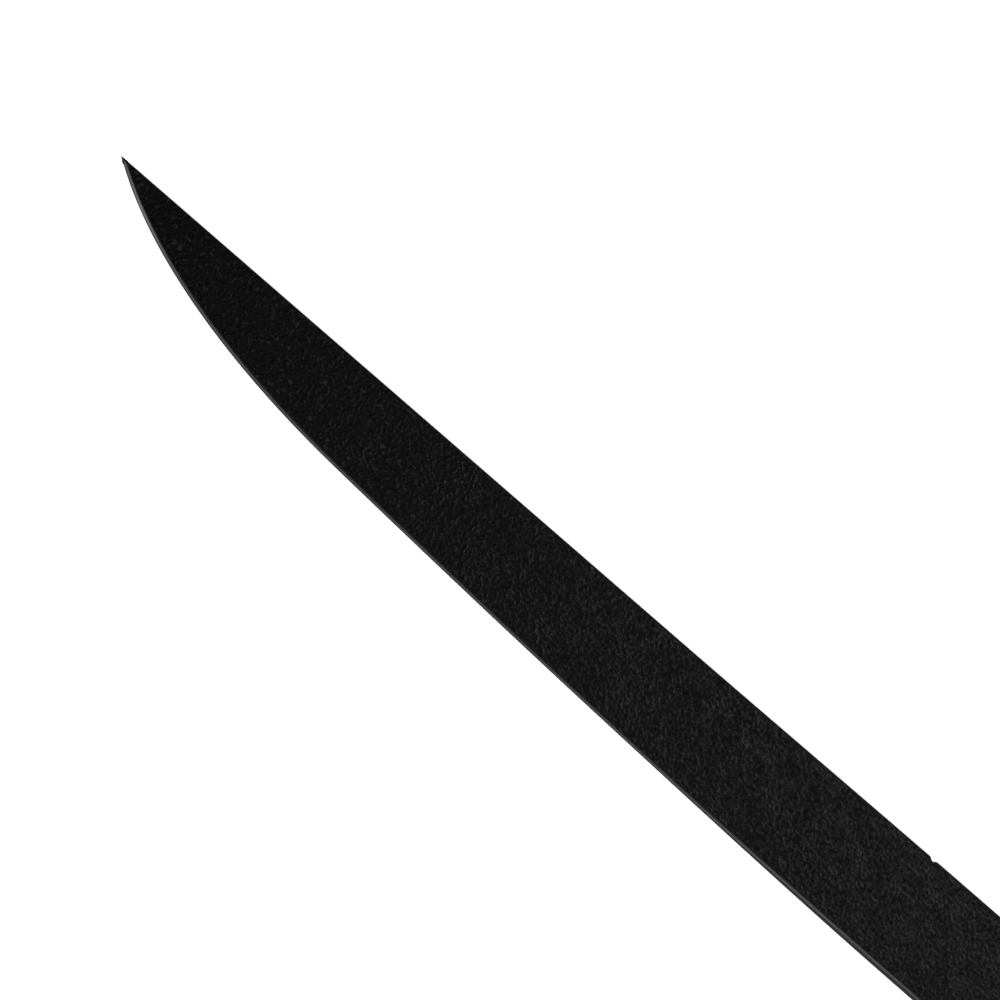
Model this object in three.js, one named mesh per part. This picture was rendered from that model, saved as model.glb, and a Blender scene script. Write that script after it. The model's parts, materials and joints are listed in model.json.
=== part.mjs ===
// Bone folder: one solid, flat, pointed creasing tool, moulded in a single piece of black plastic.
//
// Frame: the flat underside of the grip is on the plane Z = 0. X runs from the point (-X) to the
// round butt (+X), Y from the curved belly (-Y) to the straight spine (+Y), and Z up through the
// thickness.
// The origin is below the middle of the bounding box. The body is the same above and below its
// middle plane, so it can be turned over and used on either face.

import * as THREE from "three";
import { mergeVertices } from "three/addons/utils/BufferGeometryUtils.js";

// ---- Driving dimensions, in millimetres and degrees ----

const LENGTH = 200; // point to butt
const WIDTH = 20; // across the grip, spine to belly

// Outline: a straight spine, a curved nose, then a belly that runs gently out to the full width.
const TIP_ANGLE = 39; // between spine and belly at the point
const NOSE_LENGTH = 50.6; // along the spine, from the point to where the nose meets the belly
const NOSE_DEPTH = 15.2; // spine to belly at that place
const BELLY_ANGLE = 3.75; // how steeply the belly still leaves the spine there
const TIP_FULLNESS = 20.4; // how far the nose curve keeps the tip's direction
const NOSE_FULLNESS = 7; // how far back from the belly it has already taken the belly's direction

// Section: two flat faces, each with a bevel all round, that meet in a narrow edge land.
const BLADE_THICKNESS = 0.9; // of the thin creasing part, from the point to the swell
const GRIP_THICKNESS = 1.7; // of the part that the hand holds
const SWELL_START = 107; // from the point: the blade begins to thicken
const SWELL_END = 160; // from the point: the full grip thickness is reached
const EDGE_LAND = 0.1; // upright strip left between the two bevels of the blade
const BEVEL_INSET = 0.35; // how far a bevel reaches in from the outline

// How finely the curves are divided.
const NOSE_STEPS = 30;
const BELLY_STEPS = 26;
const BUTT_STEPS = 14;
const TIP_CROWDING = 1.4; // above 1, the steps of the nose draw together towards the point

// ---- Derived sizes ----

const rad = THREE.MathUtils.degToRad;
const buttRadius = WIDTH / 2; // the butt is a half circle
const buttCentre = new THREE.Vector2(LENGTH - buttRadius, -WIDTH / 2);
const bevelHeight = (BLADE_THICKNESS - EDGE_LAND) / 2;

// Half of the upright edge's height at a distance from the point: a thin land along the blade,
// and a real wall on the grip, because the bevels keep their size while the body swells.
function halfEdge(fromPoint) {
  const swell = THREE.MathUtils.smoothstep(fromPoint, SWELL_START, SWELL_END);
  return THREE.MathUtils.lerp(BLADE_THICKNESS, GRIP_THICKNESS, swell) / 2 - bevelHeight;
}

// ---- Outline, drawn with the point at (0, 0) and the spine along +X ----

const noseEnd = new THREE.Vector2(NOSE_LENGTH, -NOSE_DEPTH);
const tipDirection = new THREE.Vector2(Math.cos(rad(TIP_ANGLE)), -Math.sin(rad(TIP_ANGLE)));
const bellyDirection = new THREE.Vector2(Math.cos(rad(BELLY_ANGLE)), -Math.sin(rad(BELLY_ANGLE)));

const nose = new THREE.CubicBezierCurve(
  new THREE.Vector2(0, 0),
  tipDirection.clone().multiplyScalar(TIP_FULLNESS),
  noseEnd.clone().addScaledVector(bellyDirection, -NOSE_FULLNESS),
  noseEnd,
);

// The belly leaves the nose along its direction and arrives at the butt parallel to the spine.
const bellyRun = (WIDTH - NOSE_DEPTH) / Math.sin(rad(BELLY_ANGLE));
const belly = new THREE.QuadraticBezierCurve(
  noseEnd,
  noseEnd.clone().addScaledVector(bellyDirection, bellyRun),
  new THREE.Vector2(buttCentre.x, -WIDTH),
);

const butt = new THREE.EllipseCurve(
  buttCentre.x, buttCentre.y, buttRadius, buttRadius, -Math.PI / 2, 0, false, 0,
);

// ---- Stations: matching places on belly and spine, from the point to the end of the butt ----

// One place on an edge: where it is, which way is inwards, and how far in its bevel reaches.
const edgePlace = (point, inward, inset) => ({ point, inward, inset });

function stationsAlong(curve, shares, insetAt, spineOf) {
  return shares.map((share) => {
    const point = curve.getPointAt(share);
    const tangent = curve.getTangentAt(share);
    const inset = insetAt(share * curve.getLength());
    const inward = new THREE.Vector2(-tangent.y, tangent.x);
    return { belly: edgePlace(point, inward, inset), spine: spineOf(point, inward, inset) };
  });
}

// Along nose and belly the spine is straight; round the butt it mirrors the belly's side.
const straightSpine = (point, _inward, inset) =>
  edgePlace(new THREE.Vector2(point.x, 0), new THREE.Vector2(0, -1), inset);
const mirroredSpine = (point, inward, inset) =>
  edgePlace(
    new THREE.Vector2(point.x, -WIDTH - point.y),
    new THREE.Vector2(inward.x, -inward.y),
    inset,
  );

// Near the point the two bevels meet in a ridge before they reach their full inset.
const ridgeSlope = Math.tan(rad(TIP_ANGLE) / 2);
const ridgeLength = BEVEL_INSET / ridgeSlope;
const insetFromPoint = (distance) => Math.min(BEVEL_INSET, distance * ridgeSlope);
const fullInset = () => BEVEL_INSET;

const sharesUpTo = (steps) => Array.from({ length: steps }, (_, i) => (i + 1) / steps);
const ridgeShare = ridgeLength / nose.getLength();
const noseShares = [
  0,
  ridgeShare,
  ...sharesUpTo(NOSE_STEPS).map((s) => ridgeShare + (1 - ridgeShare) * s ** TIP_CROWDING),
];

const stations = [
  ...stationsAlong(nose, noseShares, insetFromPoint, straightSpine),
  ...stationsAlong(belly, sharesUpTo(BELLY_STEPS), fullInset, straightSpine),
  ...stationsAlong(butt, sharesUpTo(BUTT_STEPS), fullInset, mirroredSpine),
];

// ---- Body: eight lines run from the point to the butt, and skins join each to the next ----

// The four corners of one edge, from the lower face round to the upper face.
function edgeCorners({ point, inward, inset }) {
  const face = point.clone().addScaledVector(inward, inset);
  const edge = halfEdge(point.x);
  const rise = edge + (bevelHeight * inset) / BEVEL_INSET;
  return [
    [face, -rise],
    [point, -edge],
    [point, edge],
    [face, rise],
  ];
}

// One ring of corners round the section: up the belly's edge, then down the spine's.
function sectionCorners({ belly: bellyEdge, spine: spineEdge }) {
  const ring = [...edgeCorners(bellyEdge), ...edgeCorners(spineEdge).reverse()];
  return ring.map(
    ([place, height]) =>
      new THREE.Vector3(place.x - LENGTH / 2, place.y + WIDTH / 2, height + GRIP_THICKNESS / 2),
  );
}

function loft(rings) {
  const around = rings[0].length;
  const index = [];
  for (let along = 0; along < rings.length - 1; along++) {
    for (let corner = 0; corner < around; corner++) {
      const a = along * around + corner;
      const b = along * around + ((corner + 1) % around);
      index.push(a, b + around, b, a, a + around, b + around);
    }
  }
  const geometry = new THREE.BufferGeometry().setFromPoints(rings.flat());
  geometry.setIndex(index);
  return geometry;
}

// At the point and at the butt a ring closes up, so the faces that have no area are dropped.
function withoutFlatFaces(geometry) {
  const merged = mergeVertices(geometry, 1e-4);
  const old = merged.index.array;
  const index = [];
  for (let i = 0; i < old.length; i += 3) {
    const [a, b, c] = old.slice(i, i + 3);
    if (a !== b && b !== c && c !== a) index.push(a, b, c);
  }
  merged.setIndex(index);
  merged.computeVertexNormals();
  return merged;
}

const blackPlastic = new THREE.MeshStandardMaterial({
  color: 0x101010,
  roughness: 0.6,
  metalness: 0,
  flatShading: true,
});

const body = new THREE.Mesh(withoutFlatFaces(loft(stations.map(sectionCorners))), blackPlastic);
body.name = "folder_body";

const boneFolder = new THREE.Group();
boneFolder.add(body);

export default boneFolder;
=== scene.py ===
# %% [markdown]
# # A bone folder in black plastic
#
# A bone folder is the tool that presses a sharp crease into paper. This one is a single flat bar,
# moulded in what looks like black plastic, with a knife-like point, a straight spine and a curved
# belly. It has no other pieces, so all that makes it look real is one outline, one edge, one finish.
#
# The design already exists as an exact model. This lesson loads it as a fixed frame, builds a finer
# body in the same place with Geometry Nodes, gives it a moulded finish, and lights it in a studio.

# %% Load the design
import json
from math import atan2, cos, pi, radians, sin, tan

import bpy
from mathutils import Matrix, Vector

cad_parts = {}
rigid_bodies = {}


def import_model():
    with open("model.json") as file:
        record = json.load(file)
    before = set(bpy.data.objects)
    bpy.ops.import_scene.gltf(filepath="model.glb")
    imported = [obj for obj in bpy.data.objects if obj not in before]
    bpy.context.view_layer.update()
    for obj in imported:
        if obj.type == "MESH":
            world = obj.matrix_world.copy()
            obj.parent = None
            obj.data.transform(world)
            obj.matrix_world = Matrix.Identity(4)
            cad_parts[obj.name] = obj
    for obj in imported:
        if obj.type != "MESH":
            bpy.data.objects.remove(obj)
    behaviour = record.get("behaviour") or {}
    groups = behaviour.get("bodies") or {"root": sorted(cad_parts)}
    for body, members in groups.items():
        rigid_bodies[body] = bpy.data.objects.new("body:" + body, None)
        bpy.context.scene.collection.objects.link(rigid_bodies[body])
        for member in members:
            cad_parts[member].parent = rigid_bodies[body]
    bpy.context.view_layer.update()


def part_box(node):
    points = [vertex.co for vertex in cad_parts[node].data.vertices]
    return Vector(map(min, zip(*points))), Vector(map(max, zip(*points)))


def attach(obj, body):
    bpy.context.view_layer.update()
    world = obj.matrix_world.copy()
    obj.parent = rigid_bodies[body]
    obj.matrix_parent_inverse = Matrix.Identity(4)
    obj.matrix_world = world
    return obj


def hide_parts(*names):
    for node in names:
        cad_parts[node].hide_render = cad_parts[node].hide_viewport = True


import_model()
MM = 0.001

# %% [markdown]
# ## Sizes
#
# The three overall sizes are read from the design, so the finished body cannot drift away from it.
# The next ones repeat the design's own values. They describe two things: the outline, seen from
# above, and the section, seen from the end.
#
# The last five belong to the finished body alone. An `arris` is the line where two surfaces meet. No
# moulded arris is perfectly sharp, so each one is rounded by a few hundredths of a millimetre. The
# nick is a small flaw in the spine, which the design leaves out.

# %% Sizes of the folder
design_low, design_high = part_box("folder_body")
LENGTH, WIDTH, GRIP_THICKNESS = Vector(design_high) - Vector(design_low)

TIP_ANGLE = radians(39)
NOSE_LENGTH = 50.6 * MM
NOSE_DEPTH = 15.2 * MM
BELLY_ANGLE = radians(3.75)
TIP_FULLNESS = 20.4 * MM
NOSE_FULLNESS = 7 * MM

BLADE_THICKNESS = 0.9 * MM
SWELL_START = 107 * MM
SWELL_END = 160 * MM
EDGE_LAND = 0.1 * MM
BEVEL_INSET = 0.35 * MM
BEVEL_HEIGHT = (BLADE_THICKNESS - EDGE_LAND) / 2
ARRIS_SOFTNESS = 0.04 * MM
ARRIS_SUPPORT = 0.15 * MM

NICK_PLACE = 158.7 * MM
NICK_REACH = 0.65 * MM
NICK_DEPTH = 0.55 * MM
print(f"length {LENGTH / MM:.1f}, width {WIDTH / MM:.1f}, grip {GRIP_THICKNESS / MM:.2f} mm")

# %% [markdown]
# ## Camera
#
# The viewer stands over the folder, a little towards its point and its belly, and tilts the camera
# until the tool crosses the picture from corner to corner. A long lens keeps the two long edges
# calm, with only a trace of perspective. The camera is placed by five plain numbers: where it aims,
# how far away it is, its compass bearing, its height above the horizon, and its roll.

# %% Camera
LENS = 100
NEAREST, FARTHEST = 0.01, 50
AIM = Vector((-27.834, 8.082, 0.85)) * MM
DISTANCE = 398.466 * MM
BEARING, HEIGHT, ROLL = radians(-24.140), radians(59.137), radians(-61.940)

back = Vector((sin(BEARING) * cos(HEIGHT), -cos(BEARING) * cos(HEIGHT), sin(HEIGHT)))
level_right = Vector((0, 0, 1)).cross(back).normalized()
level_up = back.cross(level_right)
up = level_up * cos(ROLL) + level_right * sin(ROLL)
right = up.cross(back)

camera = bpy.data.objects.new("camera", bpy.data.cameras.new("camera"))
camera.data.lens = LENS
camera.data.clip_start, camera.data.clip_end = NEAREST, FARTHEST
turned = Matrix((right, up, back)).transposed().to_4x4()
camera.matrix_world = Matrix.Translation(AIM + back * DISTANCE) @ turned
bpy.context.scene.collection.objects.link(camera)
bpy.context.scene.camera = camera
print("camera at", [round(v, 4) for v in camera.matrix_world.translation])

# %% [markdown]
# ## Helpers for node trees
#
# The body's shape, its grain and its finish are all node trees, and they are built by the same few
# helpers. `put` adds one node and fills its inputs, either with plain values or with another node's
# output. `calc` adds one step of arithmetic, and `vectors` and `scaled` do the same for vectors.
# `vector_of` joins three numbers into a vector and `parts_of` takes one apart. `mix` blends two
# values, and picks the sockets that a Mix node keeps for numbers, for vectors or for colours.

# %% Node helpers
def put(tree, kind, inputs=None, **settings):
    made = tree.nodes.new(kind)
    for name, value in settings.items():
        setattr(made, name, value)
    for name, value in (inputs or {}).items():
        if isinstance(value, bpy.types.NodeSocket):
            tree.links.new(value, made.inputs[name])
        else:
            made.inputs[name].default_value = value
    return made


def calc(tree, operation, *values, **settings):
    made = put(tree, "ShaderNodeMath", dict(enumerate(values)), operation=operation, **settings)
    return made.outputs[0]


def vectors(tree, operation, *values):
    made = put(tree, "ShaderNodeVectorMath", operation=operation)
    for value, socket in zip(values, made.inputs):
        if isinstance(value, bpy.types.NodeSocket):
            tree.links.new(value, socket)
        else:
            socket.default_value = value
    return made.outputs["Vector"]


def scaled(tree, vector, by):
    return put(tree, "ShaderNodeVectorMath", {"Vector": vector, "Scale": by}, operation="SCALE").outputs[0]


def vector_of(tree, x=0.0, y=0.0, z=0.0):
    return put(tree, "ShaderNodeCombineXYZ", {"X": x, "Y": y, "Z": z}).outputs[0]


def parts_of(tree, vector):
    return put(tree, "ShaderNodeSeparateXYZ", {"Vector": vector}).outputs


MIX_SOCKETS = {"FLOAT": (2, 3, 0), "VECTOR": (4, 5, 1), "RGBA": (6, 7, 2)}


def mix(tree, kind, factor, at_zero, at_one):
    first, second, result = MIX_SOCKETS[kind]
    inputs = {"Factor": factor, first: at_zero, second: at_one}
    return put(tree, "ShaderNodeMix", inputs, data_type=kind).outputs[result]


# %% [markdown]
# ## The belly line
#
# The folder's outline is straight along the spine, so one curve describes all the rest: it starts
# at the point, sweeps round the nose, runs out along the belly and turns a quarter circle to the
# middle of the butt. It could be traced by hand, but four knots with worked-out handles keep it
# exact and easy to change. The point is at the curve's origin and the spine lies along X.

# %% Draw the belly line
QUARTER_CIRCLE = 4 / 3 * tan(pi / 8)  # how far a quarter circle's handles reach, in radii
CURVE_FINENESS = 256
butt_radius = WIDTH / 2

nose_end = Vector((NOSE_LENGTH, -NOSE_DEPTH, 0))
tip_direction = Vector((cos(TIP_ANGLE), -sin(TIP_ANGLE), 0))
belly_direction = Vector((cos(BELLY_ANGLE), -sin(BELLY_ANGLE), 0))
belly_end = Vector((LENGTH - butt_radius, -WIDTH, 0))
belly_corner = nose_end + belly_direction * (WIDTH - NOSE_DEPTH) / sin(BELLY_ANGLE)
butt_end = Vector((LENGTH, -WIDTH / 2, 0))
butt_pull = butt_radius * QUARTER_CIRCLE

KNOTS = [
    (Vector(), Vector(), tip_direction * TIP_FULLNESS),
    (nose_end, nose_end - belly_direction * NOSE_FULLNESS, nose_end.lerp(belly_corner, 2 / 3)),
    (belly_end, belly_end.lerp(belly_corner, 2 / 3), belly_end + Vector((butt_pull, 0, 0))),
    (butt_end, butt_end - Vector((0, butt_pull, 0)), butt_end),
]
belly_curve = bpy.data.curves.new("belly_line", "CURVE")
belly_curve.dimensions = "3D"
belly_curve.resolution_u = CURVE_FINENESS
spline = belly_curve.splines.new("BEZIER")
spline.bezier_points.add(len(KNOTS) - 1)
for knot, (place, handle_before, handle_after) in zip(spline.bezier_points, KNOTS):
    knot.co, knot.handle_left, knot.handle_right = place, handle_before, handle_after
belly_line = bpy.data.objects.new("belly_line", belly_curve)
bpy.context.scene.collection.objects.link(belly_line)
print(f"belly line: {len(KNOTS)} knots, {spline.calc_length() / MM:.1f} mm long")

# %% [markdown]
# ## The body
#
# Seen from the end, the folder is a thin bar: a flat face above and below, a bevel all round each
# face, and a narrow upright edge between the bevels. Towards the butt the bar swells, and only the
# upright edge grows.
#
# A mould for it would be two equal halves that meet at mid-height, and the node tree works the same
# way. It takes a flat sheet of stations by columns, bends it into the upper skin, mirrors that for
# the lower one and joins them. Each station is a place along the belly line. The columns climb the
# belly's edge, cross the face, and come down the spine's edge. The eight steps of an edge, from
# mid-height to the face, are the eight entries of one Index Switch.
#
# The tree also stores one value for the finish to use: `edge`, which is 1 at mid-height and 0 on
# the faces.

# %% The tree that shapes the body
EDGE_STEPS = 8
CROWDING = 0.78  # how much closer the stations lie at the point and the butt than in the middle
MERGE_WITHIN = 0.0005 * MM

shape = bpy.data.node_groups.new("folder shape", "GeometryNodeTree")
shape.interface.new_socket("Geometry", in_out="OUTPUT", socket_type="NodeSocketGeometry")
SHAPE_INPUTS = {
    "Belly Line": ("NodeSocketObject", belly_line),
    "Stations": ("NodeSocketInt", 720),
    "Face Columns": ("NodeSocketInt", 5),
    "Length": ("NodeSocketFloat", LENGTH),
    "Width": ("NodeSocketFloat", WIDTH),
    "Tip Angle": ("NodeSocketFloat", TIP_ANGLE),
    "Blade Thickness": ("NodeSocketFloat", BLADE_THICKNESS),
    "Grip Thickness": ("NodeSocketFloat", GRIP_THICKNESS),
    "Swell Start": ("NodeSocketFloat", SWELL_START),
    "Swell End": ("NodeSocketFloat", SWELL_END),
    "Bevel Inset": ("NodeSocketFloat", BEVEL_INSET),
    "Bevel Height": ("NodeSocketFloat", BEVEL_HEIGHT),
    "Arris Softness": ("NodeSocketFloat", ARRIS_SOFTNESS),
    "Arris Support": ("NodeSocketFloat", ARRIS_SUPPORT),
    "Nick Place": ("NodeSocketFloat", NICK_PLACE),
    "Nick Reach": ("NodeSocketFloat", NICK_REACH),
    "Nick Depth": ("NodeSocketFloat", NICK_DEPTH),
    "Finish": ("NodeSocketMaterial", None),
}
for name, (kind, _) in SHAPE_INPUTS.items():
    shape.interface.new_socket(name, in_out="INPUT", socket_type=kind)
given = put(shape, "NodeGroupInput").outputs

# %% [markdown]
# A sheet's points are numbered station by station, so whole-number division gives the station and
# the remainder gives the column. The sine term draws the stations together at both ends, where the
# outline turns most.

# %% Stations and columns
columns = calc(shape, "ADD", given["Face Columns"], 2.0 * EDGE_STEPS)
sheet = put(
    shape,
    "GeometryNodeMeshGrid",
    {"Size X": 1.0, "Size Y": 1.0, "Vertices X": given["Stations"], "Vertices Y": columns},
)
index = put(shape, "GeometryNodeInputIndex").outputs["Index"]
column = calc(shape, "MODULO", index, columns)
station = calc(shape, "FLOOR", calc(shape, "DIVIDE", calc(shape, "ADD", index, 0.5), columns))
evenly = calc(shape, "DIVIDE", station, calc(shape, "SUBTRACT", given["Stations"], 1.0))
wave = calc(shape, "SINE", calc(shape, "MULTIPLY", evenly, 2 * pi))
share = calc(shape, "SUBTRACT", evenly, calc(shape, "MULTIPLY", wave, CROWDING / (2 * pi)))

from_end = calc(shape, "SUBTRACT", calc(shape, "SUBTRACT", columns, 1.0), column)
edge_step = calc(shape, "MINIMUM", calc(shape, "MINIMUM", column, from_end), EDGE_STEPS - 1.0)
face_share = calc(
    shape,
    "DIVIDE",
    calc(shape, "SUBTRACT", column, EDGE_STEPS - 1.0),
    calc(shape, "ADD", given["Face Columns"], 1.0),
)
across = calc(shape, "MINIMUM", calc(shape, "MAXIMUM", face_share, 0.0), 1.0)

# %% [markdown]
# Each station needs two places, one on the belly and one straight across on the spine, and the
# direction that leads inwards from each. The belly's come from the curve. The spine's are on a
# straight line, until the butt, where they mirror the belly's.
#
# The spine has one small nick, as if something hard had struck it. It goes right through the edge:
# near its place the spine is pushed inwards, most in the middle.

# %% Both edges at a station
curve = put(shape, "GeometryNodeObjectInfo", {"Object": given["Belly Line"]}).outputs["Geometry"]
sampled = put(shape, "GeometryNodeSampleCurve", {"Curves": curve, "Factor": share}, mode="FACTOR")
belly_place = sampled.outputs["Position"]
run = parts_of(shape, sampled.outputs["Tangent"])
place = parts_of(shape, belly_place)
belly_inward = vector_of(shape, calc(shape, "MULTIPLY", run["Y"], -1.0), run["X"])

butt_start = calc(shape, "SUBTRACT", given["Length"], calc(shape, "MULTIPLY", given["Width"], 0.5))
on_butt = calc(shape, "GREATER_THAN", place["X"], butt_start)
mirrored_y = calc(shape, "SUBTRACT", calc(shape, "MULTIPLY", given["Width"], -1.0), place["Y"])
from_nick = calc(shape, "ABSOLUTE", calc(shape, "SUBTRACT", place["X"], given["Nick Place"]))
nick_share = calc(shape, "SUBTRACT", 1.0, calc(shape, "DIVIDE", from_nick, given["Nick Reach"]))
nick = calc(shape, "MULTIPLY", calc(shape, "MAXIMUM", nick_share, 0.0), given["Nick Depth"])
spine_y = calc(shape, "SUBTRACT", calc(shape, "MULTIPLY", mirrored_y, on_butt), nick)
spine_place = vector_of(shape, place["X"], spine_y)
mirrored_inward = vectors(shape, "MULTIPLY", belly_inward, (1.0, -1.0, 1.0))
spine_inward = mix(shape, "VECTOR", on_butt, (0.0, -1.0, 0.0), mirrored_inward)

# %% [markdown]
# Now the section. `half_edge` is half the height of the upright edge, which grows over the swell.
# The eight steps are offsets from the top of that upright edge: X is how far in, Y is how far up.
# Steps 1 to 3 round the lower arris of the bevel and steps 4 to 6 the upper one. Step 7 only holds
# the face flat. At the point the two bevels run into each other, so the offsets shrink to nothing.

# %% The section
swell = put(
    shape,
    "ShaderNodeMapRange",
    {"Value": place["X"], "From Min": given["Swell Start"], "From Max": given["Swell End"]},
    interpolation_type="SMOOTHSTEP",
).outputs[0]
thicker = calc(shape, "SUBTRACT", given["Grip Thickness"], given["Blade Thickness"])
thickness = calc(shape, "MULTIPLY_ADD", swell, thicker, given["Blade Thickness"])
half_edge = calc(shape, "SUBTRACT", calc(shape, "MULTIPLY", thickness, 0.5), given["Bevel Height"])

softness = given["Arris Softness"]
bevel_top = vector_of(shape, given["Bevel Inset"], given["Bevel Height"])
up_bevel = scaled(shape, vectors(shape, "NORMALIZE", bevel_top), softness)
up_edge = vector_of(shape, y=softness)
over_face = vector_of(shape, softness)
lower_middle = scaled(shape, vectors(shape, "SUBTRACT", up_bevel, up_edge), 0.25)
upper_middle = scaled(shape, vectors(shape, "SUBTRACT", over_face, up_bevel), 0.25)
well_inside = vector_of(shape, calc(shape, "ADD", softness, given["Arris Support"]))
STEPS = [
    (0.0, 0.0, 0.0),
    scaled(shape, up_edge, -1.0),
    lower_middle,
    up_bevel,
    vectors(shape, "SUBTRACT", bevel_top, up_bevel),
    vectors(shape, "ADD", bevel_top, upper_middle),
    vectors(shape, "ADD", bevel_top, over_face),
    vectors(shape, "ADD", bevel_top, well_inside),
]
steps = put(shape, "GeometryNodeIndexSwitch", data_type="VECTOR")
while len(steps.index_switch_items) < len(STEPS):
    steps.index_switch_items.new()
shape.links.new(edge_step, steps.inputs["Index"])
for socket, step in zip(list(steps.inputs)[1:], STEPS):
    if isinstance(step, bpy.types.NodeSocket):
        shape.links.new(step, socket)
    else:
        socket.default_value = step

line_length = put(shape, "GeometryNodeCurveLength", {"Curve": curve}).outputs[0]
distance = calc(shape, "MULTIPLY", share, line_length)
half_tip = calc(shape, "TANGENT", calc(shape, "MULTIPLY", given["Tip Angle"], 0.5))
reach = calc(shape, "DIVIDE", calc(shape, "MULTIPLY", distance, half_tip), given["Bevel Inset"])
grown = scaled(shape, steps.outputs[0], calc(shape, "MINIMUM", reach, 1.0))
inwards = parts_of(shape, grown)["X"]
rise = parts_of(shape, grown)["Y"]
above_middle = calc(shape, "MINIMUM", edge_step, 1.0)
height = calc(shape, "MULTIPLY_ADD", above_middle, half_edge, rise)

# %% [markdown]
# The sheet's points are moved to their places, the value for the finish is stored, and the skin is
# mirrored to make the lower half. Where the halves and the closed ends meet, the doubled
# points are merged, which leaves one watertight body. The last step puts it where the design has it.

# %% Bend, mirror and join
belly_edge = vectors(shape, "ADD", belly_place, scaled(shape, belly_inward, inwards))
spine_edge = vectors(shape, "ADD", spine_place, scaled(shape, spine_inward, inwards))
level = mix(shape, "VECTOR", across, belly_edge, spine_edge)
raised = vectors(shape, "ADD", level, vector_of(shape, z=height))
bent = put(shape, "GeometryNodeSetPosition", {"Geometry": sheet.outputs["Mesh"], "Position": raised})

edge_value = calc(shape, "SUBTRACT", 1.0, calc(shape, "DIVIDE", edge_step, EDGE_STEPS - 1.0))
skin = put(
    shape,
    "GeometryNodeStoreNamedAttribute",
    {"Geometry": bent.outputs[0], "Name": "edge", "Value": edge_value},
    data_type="FLOAT",
    domain="POINT",
).outputs[0]

mirrored = put(shape, "GeometryNodeTransform", {"Geometry": skin, "Scale": (1.0, 1.0, -1.0)})
lower = put(shape, "GeometryNodeFlipFaces", {"Mesh": mirrored.outputs[0]})
halves = put(shape, "GeometryNodeJoinGeometry")
for half in (skin, lower.outputs[0]):
    shape.links.new(half, halves.inputs[0])
whole = put(
    shape, "GeometryNodeMergeByDistance", {"Geometry": halves.outputs[0], "Distance": MERGE_WITHIN}
)
to_frame = vector_of(
    shape,
    calc(shape, "MULTIPLY", given["Length"], -0.5),
    calc(shape, "MULTIPLY", given["Width"], 0.5),
    calc(shape, "MULTIPLY", given["Grip Thickness"], 0.5),
)
placed = put(shape, "GeometryNodeTransform", {"Geometry": whole.outputs[0], "Translation": to_frame})
smooth = put(shape, "GeometryNodeSetShadeSmooth", {"Geometry": placed.outputs[0], "Shade Smooth": True})
real = put(shape, "GeometryNodeRealizeInstances", {"Geometry": smooth.outputs[0]})
finished = put(shape, "GeometryNodeSetMaterial", {"Geometry": real.outputs[0], "Material": given["Finish"]})
put(shape, "NodeGroupOutput", {"Geometry": finished.outputs[0]})
print("folder shape:", len(shape.nodes), "nodes")

# %% [markdown]
# ## The moulding grain
#
# The faces of the real tool are not polished. The mould was most likely spark-eroded, which leaves a
# fine, even pitting, and the plastic copies it: a dense field of tiny crowns and pits with a few
# The faces of the real tool are not polished. The mould was most likely spark-eroded, which leaves a
# fine, even pitting, and the plastic copies it: a dense field of tiny crowns and pits. Over it lie a
# few brighter specks, which are painted glints: grey spots in the colour that stand in for tiny
# facets catching the light. A picture of the grain would repeat and would blur close up. Noise in the
# body's own coordinates is as fine as needed and runs without a seam over every surface.
# high ground, and a mask of the few bright crowns. Patchiness lets a second, broader noise lift the
# tone in some places and lower it in others, because no mould wears quite evenly.

# %% Grain group
PIT_DETAIL = 1.5
PATCH_SCALE = 0.22  # the broad noise, as a share of the fine one's scale
TONE_SPAN = (0.32, 0.68)  # the middle part of the noise, where nearly all of its values lie
GLINT_LIMITS = (0.8, 0.4)  # where the painted glints start with a share of 0, and how far 1 lowers that
GLINT_FADE = 0.15
ASIDE = (0.31, 0.17, 0.05)  # moves the painted glints' noise well away from the pits' noise


def group(name, inputs, outputs):
    made = bpy.data.node_groups.new(name, "ShaderNodeTree")
    for direction, sockets in (("INPUT", inputs), ("OUTPUT", outputs)):
        for label, kind in sockets.items():
            made.interface.new_socket(label, in_out=direction, socket_type=kind)
    return made, put(made, "NodeGroupInput").outputs, put(made, "NodeGroupOutput")


grain, grain_in, grain_out = group(
    "moulding grain with painted shade and glints",
    {
        "Place": "NodeSocketVector",
        "Grain Size": "NodeSocketFloat",
        "Crown Share": "NodeSocketFloat",
        "Patchiness": "NodeSocketFloat",
    },
    {"Height": "NodeSocketFloat", "Pit Shade And Tone": "NodeSocketFloat", "Painted Glints": "NodeSocketFloat"},
)
per_size = calc(grain, "DIVIDE", 1.0, grain_in["Grain Size"])
pits = put(
    grain,
    "ShaderNodeTexNoise",
    {"Vector": grain_in["Place"], "Scale": per_size, "Detail": PIT_DETAIL, "Roughness": 0.5},
)
patches = put(
    grain,
    "ShaderNodeTexNoise",
    {
        "Vector": grain_in["Place"],
        "Scale": calc(grain, "MULTIPLY", per_size, PATCH_SCALE),
        "Detail": 1.0,
    },
)
uneven = calc(
    grain, "MULTIPLY", calc(grain, "SUBTRACT", patches.outputs[0], 0.5), grain_in["Patchiness"]
)
# painted glints: this separate noise picks the few specks that the colour paints greyer, in place of facets
# catching light
glint_noise = put(
    grain,
    "ShaderNodeTexNoise",
    {
        "Vector": vectors(grain, "ADD", grain_in["Place"], ASIDE),
        "Scale": per_size,
        "Detail": 1.0,
    },
)
lowered = calc(grain, "MULTIPLY", grain_in["Crown Share"], GLINT_LIMITS[1])
glint_start = calc(grain, "SUBTRACT", GLINT_LIMITS[0], lowered)
painted_glints = put(
    grain,
    "ShaderNodeMapRange",
    {
        "Value": glint_noise.outputs[0],
        "From Min": glint_start,
        "From Max": calc(grain, "ADD", glint_start, GLINT_FADE),
    },
)
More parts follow.
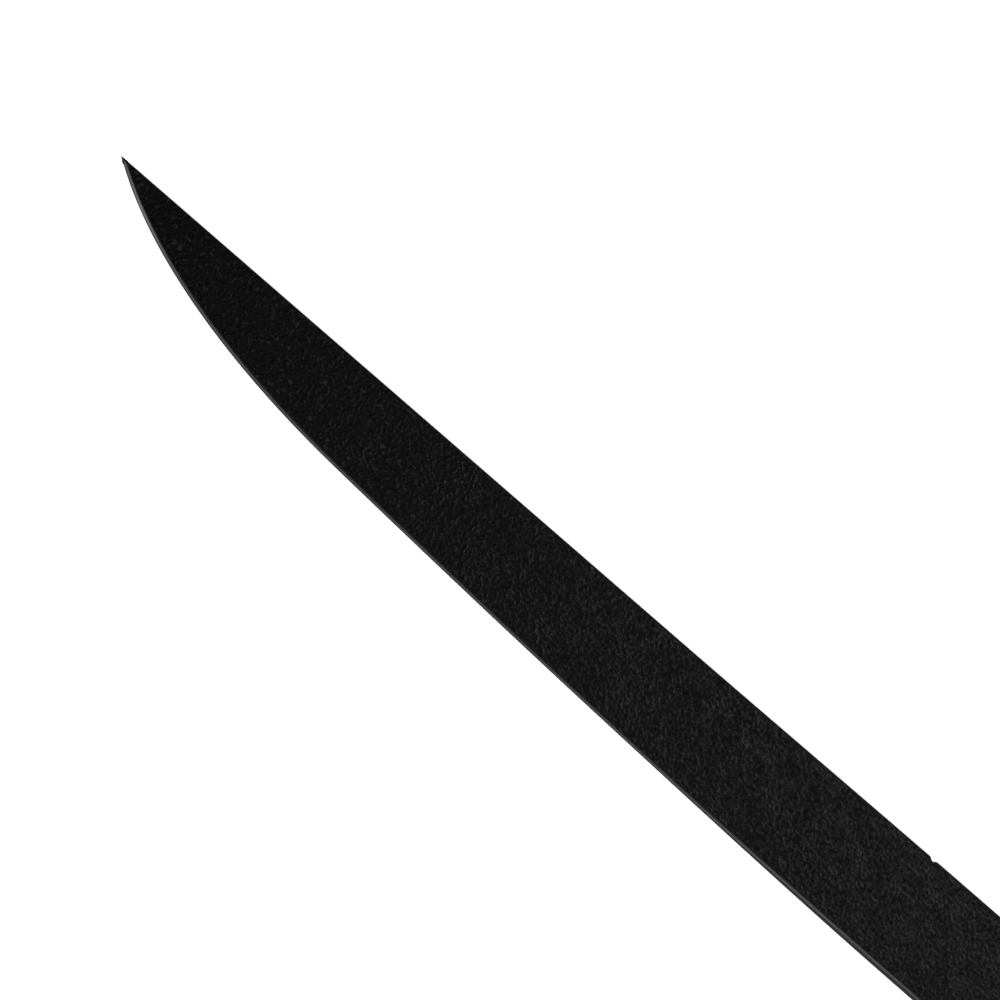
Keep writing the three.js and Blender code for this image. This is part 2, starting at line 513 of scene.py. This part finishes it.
# 0 in the pits, 1 on the high ground, with random patches: the colour uses it as painted shade in the pits,
# the roughness as a mask
grain_pit_shade_and_tone = put(
    grain,
    "ShaderNodeMapRange",
    {
        "Value": calc(grain, "ADD", pits.outputs[0], uneven),
        "From Min": TONE_SPAN[0],
        "From Max": TONE_SPAN[1],
    },
)
grain.links.new(pits.outputs[0], grain_out.inputs["Height"])
grain.links.new(grain_pit_shade_and_tone.outputs[0], grain_out.inputs["Pit Shade And Tone"])
grain.links.new(painted_glints.outputs[0], grain_out.inputs["Painted Glints"])
print("moulding grain with painted shade and glints:", len(grain.nodes), "nodes")

# %% [markdown]
# ## Black plastic
#
# The plastic is a deep, neutral black. Its colour is painted a little darker in the pits of its
# grain, which is painted shade, and a little greyer on a few scattered specks, which are painted
# glints. Light does the rest: the high ground of the grain has a slight polish, and the pits stay
# dull, so both the roughness and the bump follow the grain. The bevels and arrises are smoother than
# the faces. They are satin all over, and they draw the bright line that shows the outline.
#
# The stored `edge` value tells the faces from the bevels.

# %% Black plastic
# painted shade: the colour in the pits of the grain is darker than on the face
PIT_SHADE_COLOUR = (0.0015, 0.0015, 0.0015, 1.0)
FACE_COLOUR = (0.008, 0.008, 0.008, 1.0)
# painted glints: the grey of the few specks stands in for tiny facets catching light
GLINT_COLOUR = (0.045, 0.045, 0.045, 1.0)
PITS_ROUGHNESS = 0.78
SATIN_ROUGHNESS = 0.28
GLOSS = 0.3
GRAIN_SIZE = 0.58 * MM
GRAIN_DEPTH = 0.19 * MM
GRAIN_VALUES = {"Grain Size": GRAIN_SIZE, "Crown Share": 0.5, "Patchiness": 0.35}
EDGE_OF_GRAIN = (0.30, 0.05)  # the grain fades in between these two values of `edge`

black_plastic = bpy.data.materials.new("black_plastic")
black_plastic.use_nodes = True
finish = black_plastic.node_tree
principled = finish.nodes["Principled BSDF"]
here = put(finish, "ShaderNodeTexCoord").outputs["Object"]
edge_mask = put(finish, "ShaderNodeAttribute", attribute_name="edge").outputs["Fac"]
grained = put(finish, "ShaderNodeGroup", node_tree=grain)
finish.links.new(here, grained.inputs["Place"])
for name, value in GRAIN_VALUES.items():
    grained.inputs[name].default_value = value

on_face = put(
    finish,
    "ShaderNodeMapRange",
    {"Value": edge_mask, "From Min": EDGE_OF_GRAIN[0], "From Max": EDGE_OF_GRAIN[1]},
).outputs[0]
height_on_face = calc(finish, "MULTIPLY", grained.outputs["Height"], on_face)
glints_on_face = calc(finish, "MULTIPLY", grained.outputs["Painted Glints"], on_face)
pit_shade_and_tone = grained.outputs["Pit Shade And Tone"]
# painted shade: the colour darkens into the pits of the grain; the broad patches are random tone
colour_with_pit_shade = mix(finish, "RGBA", pit_shade_and_tone, PIT_SHADE_COLOUR, FACE_COLOUR)
# painted glints: the few specks on the faces are painted greyer
with_painted_glints = mix(finish, "RGBA", glints_on_face, colour_with_pit_shade, GLINT_COLOUR)
face_roughness = mix(finish, "FLOAT", pit_shade_and_tone, PITS_ROUGHNESS, SATIN_ROUGHNESS)
roughness = mix(finish, "FLOAT", on_face, SATIN_ROUGHNESS, face_roughness)
bump = put(
    finish, "ShaderNodeBump", {"Height": height_on_face, "Distance": GRAIN_DEPTH, "Strength": 1.0}
)
finish.links.new(with_painted_glints, principled.inputs["Base Color"])
finish.links.new(roughness, principled.inputs["Roughness"])
finish.links.new(bump.outputs[0], principled.inputs["Normal"])
principled.inputs["Specular IOR Level"].default_value = GLOSS
print("black plastic:", len(finish.nodes), "nodes")

# %% [markdown]
# ## Make the body
#
# The tree runs as a modifier on an empty mesh. Its result is then copied out as a plain mesh, so
# the finished body carries its shape in its own points and needs no modifier.

# %% Make the body
blank = bpy.data.objects.new("blank", bpy.data.meshes.new("blank"))
bpy.context.scene.collection.objects.link(blank)
shaping = blank.modifiers.new("shape", "NODES")
shaping.node_group = shape
sockets = shape.interface.items_tree
identifiers = {item.name: item.identifier for item in sockets if item.in_out == "INPUT"}
for name, (_, value) in SHAPE_INPUTS.items():
    shaping[identifiers[name]] = black_plastic if name == "Finish" else value

evaluated = blank.evaluated_get(bpy.context.evaluated_depsgraph_get())
body_mesh = bpy.data.meshes.new_from_object(evaluated)
body_mesh.name = "moulded_body"
body = bpy.data.objects.new("moulded_body", body_mesh)
bpy.context.scene.collection.objects.link(body)
bpy.data.objects.remove(blank)
bpy.data.objects.remove(belly_line)

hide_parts("folder_body")
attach(body, "root")
print("moulded body:", len(body_mesh.vertices), "points,", len(body_mesh.polygons), "faces")

# %% [markdown]
# ## Floor
#
# The folder lies on a plain white light table. The table glows, so the ground stays pure white and
# the folder casts no shadow on it.
#
# The camera sees the table at full brightness, but the folder sees only a mild glow. A real
# photographer does the same by masking the table beside the object with dark card. Without it, the
# folder's upright edge would mirror the white table and lose its dark line.

# %% Floor
HALF_FLOOR = 4.0
TABLE_GLOW = 0.15
CAMERA_GLOW = 1.0
floor_mesh = bpy.data.meshes.new("floor")
floor_mesh.from_pydata(
    [(x * HALF_FLOOR, y * HALF_FLOOR, 0) for x, y in ((-1, -1), (1, -1), (1, 1), (-1, 1))],
    [],
    [(0, 1, 2, 3)],
)
floor = bpy.data.objects.new("floor", floor_mesh)
bpy.context.scene.collection.objects.link(floor)

white_table = bpy.data.materials.new("white_table")
white_table.use_nodes = True
table = white_table.node_tree
table_surface = table.nodes["Principled BSDF"]
table_surface.inputs["Base Color"].default_value = (0.8, 0.8, 0.8, 1)
table_surface.inputs["Roughness"].default_value = 0.9
table_surface.inputs["Emission Color"].default_value = (1, 1, 1, 1)
seen_by_camera = put(table, "ShaderNodeLightPath").outputs["Is Camera Ray"]
glow = calc(table, "MULTIPLY_ADD", seen_by_camera, CAMERA_GLOW - TABLE_GLOW, TABLE_GLOW)
table.links.new(glow, table_surface.inputs["Emission Strength"])
floor_mesh.materials.append(white_table)

# %% [markdown]
# ## Light
#
# The faces look up into a very dim studio, which keeps them black. Five soft boxes do the drawing:
#
# - A long strip lies low along the belly. The bevel mirrors it as one clean grey line.
# - A small box beside the point lights the bevel round the nose, which faces another way.
# - Another small box lights the bevel beside the grip.
# - A box beyond the butt rakes the upper face. Its light grazes the grain and brings it out, more so
#   towards the butt.
# - A weak fill box above the middle keeps the blade from going quite black.
#
# Each one aims at the middle of the folder. The numbers are its place and its size in metres, and
# its power in watts.

# %% Light
SOFT_BOXES = {
    "belly strip": ((-0.4, -0.9, 0.36), (2.2, 0.16), 7.2),
    "point box": ((-0.9, -0.95, 0.4), (0.3, 0.3), 2.4),
    "grip box": ((0.5, -0.95, 0.35), (0.3, 0.3), 1.15),
    "raking box": ((0.7, 0.5, 0.5), (0.3, 0.3), 0.78),
    "fill box": ((0.25, 0.35, 0.4), (0.2, 0.2), 0.25),
}
STUDIO_GLOW = 0.012
for name, (spot, (wide, high), watts) in SOFT_BOXES.items():
    lamp = bpy.data.lights.new(name, "AREA")
    lamp.shape = "RECTANGLE"
    lamp.size, lamp.size_y = wide, high
    lamp.energy = watts
    box = bpy.data.objects.new(name, lamp)
    box.location = spot
    box.rotation_euler = Vector(spot).to_track_quat("Z", "Y").to_euler()
    bpy.context.scene.collection.objects.link(box)

studio = bpy.data.worlds.new("dim studio")
studio.use_nodes = True
surroundings = studio.node_tree.nodes["Background"].inputs
surroundings["Color"].default_value = (1, 1, 1, 1)
surroundings["Strength"].default_value = STUDIO_GLOW
bpy.context.scene.world = studio
bpy.context.scene.view_settings.view_transform = "Standard"
print("soft boxes:", ", ".join(SOFT_BOXES))
